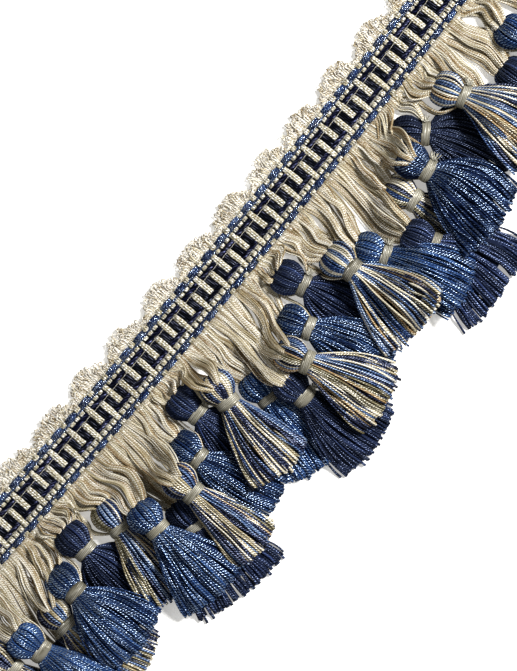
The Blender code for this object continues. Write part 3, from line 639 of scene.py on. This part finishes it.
picots = {
    "scallop": 20.0, "scallops": 18, "valley": -0.7, "root": 7.9, "ends": 2.2,
    "radius": 0.26, "stations": 14, "loops": 52, "halfWidth": (0.55, 1.15),
    # how each loop crinkles to the side, outward and up: how far, and its fewest and most waves
    "crinkle": ((0.2, 4, 6), (0.2, 4, 7), (0.3, 3, 5)),
    # the scallop's outline: how far its loops reach at each place in it, and how they lean
    "place": (0.0, 0.1, 0.2, 0.34, 0.5, 0.66, 0.8, 0.9, 1.0),
    "reach": (9.2, 10.8, 13.0, 14.8, 15.5, 14.9, 13.3, 11.1, 9.2),
    "lean": (0.0, -0.9, -1.2, -0.8, 0.0, 0.8, 1.2, 0.9, 0.0),
}


def buildPicots():
    # Each scallop is a frothy heap of fine loops, the long ones outside, every one crinkled in its own way.
    rng = np.random.default_rng(5)
    loops = Yarns()
    turn = np.linspace(0, math.pi, picots["stations"])
    rise = np.sin(turn) ** 0.6
    first = math.ceil((-halfLength - picots["valley"]) / picots["scallop"]) - 1
    for scallop in range(first, first + picots["scallops"]):
        for n in range(picots["loops"]):
            place = (n + rng.random()) / picots["loops"]
            middle = picots["valley"] + (scallop + place) * picots["scallop"]
            if abs(middle) > halfLength - picots["ends"]:
                continue
            share = 0.05 + 0.95 * rng.random()
            wide = rng.uniform(*picots["halfWidth"])
            reach = np.interp(place, picots["place"], picots["reach"]) + 0.25 * rng.normal()
            tall = (reach - picots["root"]) * (0.3 + 0.7 * share ** 0.6)
            tilt = np.interp(place, picots["place"], picots["lean"]) * share + 0.4 * rng.normal()
            curl = rng.random(4) * 6.28
            crinkle = [far * np.sin(rng.uniform(fewest, most) * turn + begin) * rise
                       for (far, fewest, most), begin in zip(picots["crinkle"], curl)]
            x = middle - wide * np.cos(turn) * (0.25 + 1.1 * rise ** 2) + tilt * rise ** 2 + crinkle[0]
            y = picots["root"] + tall * rise + crinkle[1]
            z = 0.6 + (1.2 - 0.8 * share) * rise + crinkle[2] + 0.3 * rng.random()
            path = pathOf(x, y, np.maximum(z, picots["radius"]))
            loops.lay(path, picots["radius"], tone=rng.random(), kind=rng.random())
    return loops.make("picot_loops", materials["picot"], "ecru_yarn")


# Tassels

class Laid:
    # One tassel as its solids lie: its axes in plan, and how high its head and its skirt reach.
    def __init__(self, number, row):
        self.number, self.row = number, row
        self.node = f"tassel_{number:02d}"
        lean = math.radians(row.lean + row.turn)
        self.across = np.array((math.cos(lean), math.sin(lean)))
        points = planOf(self.node)
        rings = self.at(solids["headAlong"], solids["headHalfWidth"], turned=False)
        low, high = heightsAt(points, rings)
        self.headMiddle = (low + high) / 2
        self.floor = self.readLocks(points, solids["lowerLocks"])[0]
        self.roof = self.readLocks(points, solids["upperLocks"])[1]
        neck = self.headMiddle[-1]
        self.floor[0] = neck - solids["neckHeight"]
        self.roof[0] = neck + solids["neckHeight"]

    def at(self, along, across, turned=True):
        # a place in plan, from the crown along the tassel and across it; the head turns on its neck
        along, across = np.broadcast_arrays(np.asarray(along, float), np.asarray(across, float))
        beyond = np.clip((along - solids["headLength"]) / self.row.skirt, 0, 1)
        angle = np.radians(self.row.lean + turned * self.row.turn * (1 - 0.65 * beyond))
        away = along - solids["tieMiddle"]
        x = self.row.tieX + away * np.sin(angle) + across * np.cos(angle)
        return np.stack((x, self.row.tieY - away * np.cos(angle) + across * np.sin(angle)), -1)

    def readLocks(self, points, columns):
        lows, highs = np.zeros((4, 3)), np.zeros((4, 3))
        neck = solids["neckWidth"]
        for j, (side, centre, width, length) in enumerate(columns):
            start = side * neck * solids["neckColumn"]
            for k in (1, 2, 3):
                share, flare = solids["skirtShares"][k], solids["skirtFlare"][k]
                middle = start + (centre * self.row.spread - start) * flare
                half = neck / 3 + (width * self.row.spread / 2 - neck / 3) * flare
                along = solids["headLength"] + self.row.skirt * share * length
                corners = self.at(along, np.array((middle - half, middle + half)), turned=False)
                low, high = heightsAt(points, corners)
                lows[k, j], highs[k, j] = low.mean(), high.mean()
        return lows, highs

    def middleAt(self, along):
        return np.interp(along, solids["headAlong"], self.headMiddle)

    def point(self, along, across, above=0.0):
        # a point of the head or its neck, so far above its middle
        return lifted(self.at(along, across), self.middleAt(along) + above)

    def bandAt(self, shares, fan):
        # the skirt's underside and top, for each yarn's place in the fan at each share of its length
        made = []
        for locks, heights in ((solids["lowerLocks"], self.floor), (solids["upperLocks"], self.roof)):
            grid = np.array([np.interp(fan, [lock[1] for lock in locks], height) for height in heights])
            line = np.array([np.interp(shares, solids["skirtShares"], column) for column in grid.T])
            relax(line, 2)
            made.append(line)
        return made


headShape = {
    "along": np.array([-0.4, 0.1, 1.0, 2.4, 4.2, 6.0, 7.8, 9.4, 11.2, 13.0]),
    "wide": np.array([2.2, 4.0, 5.2, 5.9, 6.2, 6.0, 5.1, 4.0, 3.7, 4.0]),
    "tall": np.array([0.6, 1.7, 2.6, 3.4, 3.8, 3.8, 3.2, 2.6, 2.5, 2.7]),
    "ribRadius": 0.46, "ribStations": 7, "yarnRadius": 0.33, "neck": 4.0,
    # the plain inside: its stations, and how far it keeps within the ribs
    "core": np.array((0.6, 1.4, 4.2, 6.0, 7.8, 9.4, 12.0)),
    "coreShare": np.array((0.15, 0.55, 0.8, 0.84, 0.84, 0.84, 0.82)),
}
skirtShape = {
    "stations": 12,
    "rings": ((1.0, 44), (0.82, 36), (0.6, 24)),
    "droop": 0.95, "clumps": 9, "pull": 0.11, "sway": 0.42, "lift": 0.14, "ragged": 0.5,
    "strays": 0.05, "strayBow": 1.2, "longYarns": 0.02, "longer": 1.8,
    "plainWidth": 12, "ribEnds": (0.03, 0.07, 0.12, 0.17), "thicker": 0.17,
    # the plain inside: five narrow sheets across the fan, as far as this share of the skirt
    "sheets": np.array((-0.66, -0.33, 0.0, 0.33, 0.66)), "sheetEnd": 0.8, "sheetNeck": 3.2,
}
# which of a yarn's colours the plain insides take, before the grooves' painted shade deepens it
insideKind = {"navy": 0.5, "blue": 0.5, "mixed": 0.56}
# how often each colour comes in a mixed skein: ecru, ink, pale, olive, navy, blue, steel, tan
skeinShares = {
    -1: (0.15, 0.26, 0.11, 0.10, 0.12, 0.12, 0.08, 0.06),
    0: (0.20, 0.26, 0.16, 0.12, 0.08, 0.06, 0.04, 0.08),
    1: (0.16, 0.08, 0.16, 0.06, 0.04, 0.20, 0.22, 0.08),
}


def openAt(row, shares):
    # how far a skirt has opened at each share of its length; a wide one opens sooner
    return 1 - (1 - shares) ** (1.5 + 6 * (row.fan - plainFan))


def skirtClumps(rng):
    # where the locks of a skirt gather, how each sways and how high it lies
    count = skirtShape["clumps"]
    centres = np.stack((np.linspace(-0.93, 0.93, count), np.linspace(-0.86, 0.86, count)))
    centres += 0.35 / count * rng.normal(size=(2, count))
    sways = np.stack((rng.random((2, count)), skirtShape["sway"] * rng.normal(size=(2, count))), -1)
    return centres, sways, skirtShape["lift"] * rng.normal(size=(2, count))


def skirtPaths(tassel, turn, size, rng, shares, clumps):
    # Yarns from the neck to their tips. turn and size are their places in the neck. Like hair, they draw
    # together into locks toward the tips, an upper set and a lower one.
    row = tassel.row
    count = len(turn)
    radius = headShape["yarnRadius"]
    a, b = size * np.cos(turn), size * np.sin(turn)
    fan = 2 / math.pi * np.arcsin(np.cos(turn)) * (0.5 + 0.5 * size) + 0.02 * rng.normal(size=count)
    centres, sways, lifts = clumps
    layer = (b < 0).astype(int)
    nearest = np.abs(fan[:, None] - centres[layer]).argmin(1)
    own = centres[layer, nearest]
    low, high = tassel.bandAt(shares, fan)

    # across: they fan out, draw together into their locks, and sway with them
    pull = skirtShape["pull"] * np.clip(shares * 1.25, 0, 1) ** 1.3
    ends = fan[:, None] + (own - fan)[:, None] * pull
    start = a[:, None] * headShape["neck"]
    across = start + (ends * row.spread * row.fan - start) * openAt(row, shares)
    phase, reach = sways[layer, nearest, 0][:, None], sways[layer, nearest, 1][:, None]
    across += reach * wave(0.75 * shares + phase) * shares
    stray = np.where(rng.random(count) < skirtShape["strays"], skirtShape["strayBow"], 0.0)
    stray = (stray * rng.choice((-1, 1), count))[:, None]
    crimp = wave(shares * rng.uniform(1.2, 2.6, (count, 1)) + rng.random((count, 1)))
    across += 0.16 * crimp * shares + stray * np.sin(math.pi * shares) ** 2

    # along: the outer ones are shorter, and a few stand out at the tips
    length = row.skirt * (1.03 - 0.1 * fan ** 2) + skirtShape["ragged"] * rng.normal(size=count)
    length += np.where(rng.random(count) < skirtShape["longYarns"], skirtShape["longer"], 0.0)
    along = solids["headLength"] + length[:, None] * shares

    # height: between the solid's underside and top
    settle = np.clip(shares / 0.3, 0, 1)
    lift = 0.5 + 0.5 * b[:, None] - 0.5 * skirtShape["droop"] * (fan ** 2)[:, None] * settle
    fromMiddle = np.abs(fan - own) * skirtShape["clumps"]
    lift = lift + (lifts[layer, nearest] - 0.12 * fromMiddle)[:, None] * shares
    lift = np.clip(lift + 0.04 * rng.normal(size=(count, 1)) * settle, 0, 1.1)
    height = low + radius + lift * (high - low - 2 * radius)
    height += 0.2 * wave(shares * 1.7 + rng.random((count, 1))) * settle
    height += 0.55 * wave(shares * 1.4 + 3 * phase) * settle
    height += np.abs(stray) * 0.6 * np.sin(math.pi * shares)
    return lifted(tassel.at(along, across), np.maximum(height, radius)), fan


def headPaths(tassel, turn, rng):
    # the ribs of the head, from the crown to the neck
    shape = headShape["along"]
    early = 1 - (shape - shape[0]) / (shape[-1] - shape[0])
    across = headShape["wide"] * np.cos(turn)[:, None] + 0.1 * rng.normal(size=(len(turn), 1)) * early
    above = headShape["tall"] * np.sin(turn)[:, None] + 0.08 * rng.normal(size=(len(turn), 1)) * early
    return tassel.point(shape, across, above)


def pickKinds(yarn, fan, rng, shade):
    # which colour each yarn is: in a mixed skein one or two neighbours share a colour
    count = len(fan)
    if yarn != "mixed":
        # a blue or navy tassel's shade moves all its yarns to lighter or deeper colours: painted light and
        # shade
        return np.clip(0.5 + shade + 0.25 * rng.normal(size=count), 0, 1)
    colours = len(skeinShares[shade])
    order = np.argsort(fan)
    chosen = rng.choice(colours, count, p=skeinShares[shade])
    same = rng.random(count) < 0.4
    for k in range(1, count):
        if same[k]:
            chosen[order[k]] = chosen[order[k - 1]]
    return (chosen + 0.5) / colours


def layShadedInsides(yarns, tassel):
    # plain insides in painted shade, as dark as the grooves, so that no light shows between the yarns
    row = tassel.row
    kind = insideKind[row.yarn]
    inner = headShape["core"]
    wide, tall = [np.interp(inner, headShape["along"], headShape[side]) * headShape["coreShare"]
                  for side in ("wide", "tall")]
    yarns.lay(tassel.point(inner, 0.0), wide, tall, sides=14, kind=kind, paintedShadeInside=True)
    inner = np.linspace(0, skirtShape["sheetEnd"], 8)
    fan = skirtShape["sheets"]
    low, high = tassel.bandAt(inner, fan)
    begin = fan[:, None] * skirtShape["sheetNeck"]
    across = begin + (fan[:, None] * row.spread * row.fan - begin) * openAt(row, inner)
    plan = tassel.at(solids["headLength"] + row.skirt * inner[None], across)
    sheets = lifted(plan, np.maximum(low + 0.2 * (high - low), 0.35))
    wide = 0.9 + (0.18 * row.spread * row.fan - 0.9) * openAt(row, inner)
    yarns.lay(sheets, wide, 0.1 * (high - low) + 0.1, sides=8, kind=kind, paintedShadeInside=True)


def buildTassel(tassel):
    row = tassel.row
    rng = np.random.default_rng(100 + tassel.number)
    yarns = Yarns()
    shares = np.linspace(0, 1, skirtShape["stations"])
    clumps = skirtClumps(rng)
    # the yarns of a wide skirt lie a little looser and look thicker
    loose = headShape["yarnRadius"] * max(1.0, (row.spread * row.fan / skirtShape["plainWidth"]) ** 0.35)
    for ring, (size, count) in enumerate(skirtShape["rings"]):
        turn = 2 * math.pi * (np.arange(count) + 0.5 * (ring % 2)) / count
        turn += (0.05 if ring else 0.025) * rng.normal(size=count)
        path, fan = skirtPaths(tassel, turn, size, rng, shares, clumps)
        tone, kind = rng.random(count), pickKinds(row.yarn, fan, rng, row.shade)
        if ring == 0:
            # the outer yarns run on from the ribs of the head
            path = np.concatenate((headPaths(tassel, turn, rng)[:, :-1], path), axis=1)
            radius = np.full(path.shape[1], loose)
            radius[:headShape["ribStations"]] = headShape["ribRadius"]
            radius[-len(skirtShape["ribEnds"]):] += skirtShape["ribEnds"]
        else:
            radius = loose + skirtShape["thicker"] * shares ** 2
        yarns.lay(path, radius, tone=tone, kind=kind)
    layShadedInsides(yarns, tassel)
    piece = yarns.make(f"skein_{tassel.number:02d}", materials[row.yarn], row.yarn + "_yarn")
    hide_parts(tassel.node)


binding = {
    "turns": 7, "width": 2.9, "thread": 0.27, "wide": 4.22, "tall": 2.95, "turnStations": 18,
    # the knot's cut ends: how many, their radius, where they start across the neck and how long they are
    "ends": 24, "endRadius": 0.2, "endStart": 3.7, "endLength": (1.2, 3.3),
}


def buildBinding(tassel):
    rng = np.random.default_rng(300 + tassel.number)
    threads = Yarns()
    wide, tall, neck = binding["wide"], binding["tall"], solids["tieMiddle"]
    steps = binding["turnStations"] * binding["turns"] + 1
    turn = np.linspace(0, 2 * math.pi * binding["turns"], steps) + math.pi / 2
    share = np.linspace(-0.5, 0.5, steps)
    along = neck + share * binding["width"] + 0.05 * np.sin(turn * 0.9)
    grow = 0.1 * np.cos(share * math.pi) + 0.03 * np.sin(turn * 1.7 + rng.random() * 6)
    path = tassel.point(along, (wide + grow) * np.cos(turn), (tall + grow) * np.sin(turn))
    threads.lay(path, binding["thread"], sides=5, tone=rng.random(), kind=rng.random())
    # the plain band under the thread
    edges = neck + np.array((-0.5, -0.44, 0.44, 0.5)) * binding["width"]
    inset = np.array((0.5, 0.0, 0.0, 0.5))
    threads.lay(tassel.point(edges, 0.0), wide - inset, tall - inset, sides=20, tone=0.4, kind=0.3)
    if tassel.row.knot:
        # the knot's cut ends, a short tuft at the side of the neck
        spot = np.linspace(0, 1, 5)
        for n in range(binding["ends"]):
            angle = rng.uniform(-1.0, 0.7)
            reach = rng.uniform(*binding["endLength"])
            along = neck - 0.4 + 0.9 * rng.random() + spot * reach * math.sin(angle)
            height = tassel.middleAt(neck) + 1.2 + 0.7 * rng.random() + 0.8 * np.sin(spot * 2.4)
            end = lifted(tassel.at(along, binding["endStart"] + spot * reach * math.cos(angle)), height)
            threads.lay(end, binding["endRadius"], sides=3, tone=1.0, kind=1.0)
    piece = threads.make(f"binding_{tassel.number:02d}", materials["satin"], "tie_thread")
    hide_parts(f"tie_{tassel.number:02d}")


# Ecru hanks

hankLook = {
    "inFirst": 15,                       # the first of the two pieces holds the hanks of this many tassels
    "perMm": 5.0, "ribbonWidth": 2.3, "stations": 17, "radius": 0.3, "half": 1.75, "dome": 0.4, "sway": 0.9,
    # a hank shorter than slack has length to spare, and one as long as lively lies less even
    "slack": 22.0, "lively": 20.0,
    # how far under the braid the yarns start, how high, and how wide a hank spreads beyond its solid locks
    "rootBack": 3.3, "rootHeight": 1.35, "wider": 1.45, "lockPlaces": (-0.69, 0.0, 0.69),
    # yarns that end in the crown: how far along the head, and how wide the lower and the upper ones spread
    "crown": 1.8, "crownBelow": 3.6, "crownAbove": 2.4,
    # ribbons that lie over the head: how far along it, how far they spread, and how high above its middle
    "over": ((1.2, 2.9, 3.6), (3.4, 1.9, 4.3)), "overEnd": (0.7, 2.0), "overStart": 2.2,
    # yarns that run on beside the head: how far along it, their first place across it, and how far they bulge
    "beside": ((2.0, 0.4, 0.9), (6.0, 0.0, 1.0), (9.2, 1.8, 0.45), (11.2, 3.0, 0.0)),
}


def hankStations(tassel, lane):
    # the stations of the three solid locks that carry a tassel, and how high they lie
    row = tassel.row
    front, firstRun = solids["stripFront"], solids["hankFirst"]
    reach = front - tassel.at(-solids["gap"], 0, turned=False)[1]
    runs = max(0, round((reach - firstRun) / solids["hankRun"]))
    first = min(1.0, firstRun / reach) if runs else 1.0
    shares = [0.0] + [first + (1 - first) * run / max(runs, 1) for run in range(runs + 1)]
    width = (lane[1] - lane[0]) / 3
    middle = (lane[0] + lane[1]) / 2
    centres, corners = np.zeros((3, len(shares), 2)), []
    lean = math.radians(row.lean)
    solidAcross = np.array((math.cos(lean), math.sin(lean)))
    for lock in range(3):
        side = lock - 1
        near = np.array((middle + side * min(width, solids["hankPitch"]), front))
        ends = [tassel.at(-solids["gap"], side * solids["hankPitch"], turned) for turned in (False, True)]
        centres[lock, 0] = (lane[0] + width * (lock + 0.5), front)
        corners += [centres[lock, 0] + (edge * width / 2, 0) for edge in (-1, 1)]
        for k, share in enumerate(shares[1:], start=1):
            late = (share - first) / (1 - first) if runs else 1.0
            solid, drawn = [near + (tip - near) * np.array((ease(late), share)) for tip in ends]
            solid[0] += row.swing * math.sin(math.pi * late)
            drawn[0] += (row.swing + row.bow) * math.sin(math.pi * late)
            across = np.array((1.0, 0.0)) * (1 - late) + solidAcross * late
            centres[lock, k] = drawn
            corners += [solid + edge * across * solids["hankWidth"] / 2 for edge in (-1, 1)]
    return centres, np.array(corners), np.array(shares), reach


def layHank(yarns, tassel, lane, points):
    rng = np.random.default_rng(500 + tassel.number)
    centres, corners, shares, reach = hankStations(tassel, lane)
    low, high = [heights.reshape(3, len(shares), 2).mean(2) for heights in heightsAt(points, corners)]
    slack = max(0.0, 1 - reach / hankLook["slack"])
    count = round((lane[1] - lane[0]) * hankLook["perMm"])
    ribbons = max(3, round((lane[1] - lane[0]) / hankLook["ribbonWidth"]))
    v = np.linspace(-1, 1, count)
    member = np.minimum((np.arange(count) * ribbons) // count, ribbons - 1)
    place = (np.arange(count) * ribbons / count) % 1 * 2 - 1
    # some yarns lie in a plain sheet below, the others gather into flat ribbons above it
    below = np.arange(count) % (2 if slack > 0.4 else 3) == 1
    ribbonV = np.linspace(-0.85, 0.85, ribbons) + 0.16 * rng.normal(size=ribbons)
    layer = np.where(np.arange(ribbons) % 2 == tassel.number % 2, 0.95, 0.5)
    ribbonU = layer + 0.12 * rng.normal(size=ribbons) - 0.35 * ribbonV ** 2
    aside = hankLook["half"] * place * rng.uniform(0.8, 1.15, ribbons)[member] + 0.06 * rng.normal(size=count)
    above = hankLook["dome"] * (1 - place ** 2) + 0.12 * rng.normal(size=count)
    twist = rng.uniform(-0.5, 0.5, ribbons)[member]

    # from the strip to the crown
    gather = 0.85 * np.clip(shares / 0.6, 0, 1)
    spread = (centres[2] - centres[0]) / 2 * hankLook["wider"]
    full = 1 + 0.45 * np.sin(math.pi * shares)
    own = v[:, None] * (1 - gather) + ribbonV[member][:, None] * gather * full
    plain = v[:, None] * (1 + 0.3 * shares) * full
    plan = centres[1] + np.where(below[:, None], plain, own)[..., None] * spread
    angle = twist[:, None] * shares
    free = gather * ~below[:, None]
    shift = (aside[:, None] * np.cos(angle) - above[:, None] * np.sin(angle)) * free
    lift = (aside[:, None] * np.sin(angle) + above[:, None] * np.cos(angle)) * free
    plan = plan + (shift * (1 - 0.4 * shares ** 2))[..., None] * tassel.across
    bottom, top = [np.array([np.interp(v, hankLook["lockPlaces"], heights) for heights in edge.T]).T
                   for edge in (low, high)]
    u = np.where(below, 0.2 + 0.1 * rng.normal(size=count), np.clip(ribbonU[member], 0, 1.1))[:, None]
    height = bottom + hankLook["radius"] + u * (top - bottom + 0.4)
    body = lifted(plan, height + lift)
    rise = rng.random(count)
    body[:, 0, 2] = 0.7 + 1.0 * rise
    # the yarns come out from under the braid's blue dashes
    root = plan[:, 0] + np.array((0.0, hankLook["rootBack"]))
    start = lifted(root, hankLook["rootHeight"] + 0.35 * rise)[:, None]

    # over the head, beside it and in under the binding where the hank is slack, or into the crown
    over = ~below & bool(tassel.row.over)
    off = centres[1, 0, 0] + v * (lane[1] - lane[0]) / 2 - tassel.at(0, 0)[0]
    beside = ~over & (slack > 0.25) & (below & (np.abs(v) > 0.66) | (np.abs(off) > 7.5))
    gathered = ribbonV[member] * hankLook["crownAbove"] + 0.3 * aside
    across = np.where(below, v * hankLook["crownBelow"], gathered)
    tail = tassel.point(hankLook["crown"], across, 0.5 * above)[:, None]
    ends = [tassel.point(along, ribbonV[member] * squeeze + 0.4 * aside, higher + 0.5 * above)
            for along, squeeze, higher in (*hankLook["over"], (tassel.row.over, *hankLook["overEnd"]))]
    body[over, -1, 2] += hankLook["overStart"]
    far = 5.3 + 0.85 * np.maximum(0, np.abs(off) - 5) + 1.2 * rng.random(count)
    heap = 2.6 * rng.random(count)
    past = []
    for along, wide, more in hankLook["beside"]:
        spot = tassel.at(along, np.sign(off) * (wide + far * more))
        past.append(lifted(spot, np.maximum(0.4 + 0.3 * heap, tassel.middleAt(along) - 3.4 + heap)))
    path = np.zeros((count, hankLook["stations"], 3))
    groups = ((over, body, np.stack(ends, 1)), (beside, body[:, :-1], np.stack(past, 1)),
              (~over & ~beside, body, tail))
    for these, middle, finish in groups:
        if these.any():
            controls = np.concatenate((start[these], middle[these], finish[these]), 1)
            path[these] = smoothLine(controls, hankLook["stations"])

    # slack: the ribbons bow to one side, each as far as it likes, and arch
    share = np.linspace(0, 1, hankLook["stations"])
    room = np.sin(math.pi * np.clip(share * 1.15 - 0.12, 0, 1)) ** 0.9
    phase = rng.random((ribbons, 2))[member]
    toSide = rng.choice((-1, 1)) * (0.3 + 0.4 * rng.random(ribbons)) + 0.15 * rng.normal(size=ribbons)
    toSide += 1.2 * ribbonV * slack
    bow = (0.9 + 1.6 * slack) * toSide[member]
    sway = hankLook["sway"] * min(1.0, reach / 12) * wave(share + phase[:, :1])
    lively = min(1.0, reach / hankLook["lively"])
    crimp = wave(share * rng.uniform(2.5, 5, (count, 1)) + rng.random((count, 1)))
    mild = np.where(beside, 0.3, np.where(below, 0.6, 1.0))[:, None]
    sway = sway + (0.3 + 0.35 * lively) * wave(2.4 * share + 2 * phase[:, 1:])
    path[..., 0] += ((sway + bow[:, None]) * mild + (0.12 + 0.12 * lively) * crimp) * room
    arch = (0.4 + 2.4 * slack + 1.4 * lively ** 2) * rng.random(ribbons)[member]
    arch = arch[:, None] * mild * room * (1 + 0.5 * wave(share * 0.9 + phase[:, 1:]))
    path[..., 2] = np.maximum(path[..., 2] + arch, hankLook["radius"])
    relax(path, 3)
    yarns.lay(path, hankLook["radius"], tone=rng.random(count), kind=rng.random(count))


def buildHanks(tassels):
    points = planOf("fringe")
    lanes = [row.lane for row in tasselRows] + [halfLength]
    parts = [Yarns(), Yarns()]
    for tassel, lane in zip(tassels, zip(lanes, lanes[1:])):
        layHank(parts[tassel.number > hankLook["inFirst"]], tassel, lane, points)
    for number, yarns in enumerate(parts, start=1):
        piece = yarns.make(f"hanks_{number}", materials["ecru"], "ecru_yarn")
        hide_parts("fringe")


# Floor, light and camera

studio = {
    "heightSeen": 239.6, "centre": (1.25, -25.4), "turn": -50.4, "lens": 180.0, "sensor": 36.0,
    "floor": fromScreen(242, 241, 238), "floorSize": 3.0, "floorHeight": -0.0002, "glow": 0.42,
    "ambient": 0.18, "sky": (1.0, 0.99, 0.97, 1.0),
    # each lamp: to the right, above and over the middle of the picture, its size and its power
    "lamps": (("key", 0.75, 0.5, 0.85, 0.35, 34.0), ("fill", -0.8, -0.2, 0.9, 0.9, 2.5)),
}


def buildStudio():
    bpy.ops.mesh.primitive_plane_add(size=studio["floorSize"], location=(0, 0, studio["floorHeight"]))
    floor = bpy.context.object
    floor.name = "floor"
    material, tree, shader = newMaterial("paleFloor")
    feed(tree, shader, {"Base Color": studio["floor"], "Roughness": 0.9, "Emission Color": studio["floor"],
                        "Emission Strength": studio["glow"]})
    floor.data.materials.append(material)
    world = bpy.data.worlds.new("studioWorld")
    world.use_nodes = True
    sky = world.node_tree.nodes["Background"]
    feed(world.node_tree, sky, {"Color": studio["sky"], "Strength": studio["ambient"]})
    scene = bpy.context.scene
    scene.world = world
    turn = math.radians(studio["turn"])
    right = np.array((math.cos(turn), math.sin(turn), 0.0))
    up = np.array((-math.sin(turn), math.cos(turn), 0.0))
    aim = wrapPlan(np.array((*studio["centre"], 0.0)))
    for name, across, above, height, size, power in studio["lamps"]:
        lamp = bpy.data.lights.new(name, "AREA")
        lamp.size = size
        lamp.energy = power
        light = bpy.data.objects.new(name, lamp)
        light.location = aim + right * across + up * above + np.array((0, 0, height))
        away = light.location - Vector(aim)
        light.rotation_euler = away.to_track_quat("Z", "Y").to_euler()
        scene.collection.objects.link(light)
    lens = bpy.data.cameras.new("camera")
    lens.lens = studio["lens"]
    lens.sensor_width = studio["sensor"]
    camera = bpy.data.objects.new("camera", lens)
    camera.location = aim + np.array((0, 0, studio["heightSeen"] * mm * studio["lens"] / studio["sensor"]))
    camera.rotation_euler = (0, 0, turn)
    scene.collection.objects.link(camera)
    scene.camera = camera
    scene.view_settings.view_transform = "Standard"


buildStudio()
print("studio ready")
ground, onGround = buildBraid()
print("braid woven")
picotPiece = buildPicots()
print("picots looped")
tassels = [Laid(number, row) for number, row in enumerate(tasselRows, start=1)]
for tassel in tassels:
    buildTassel(tassel)
    buildBinding(tassel)
print("tassels tied")
buildHanks(tassels)
print("hanks laid")
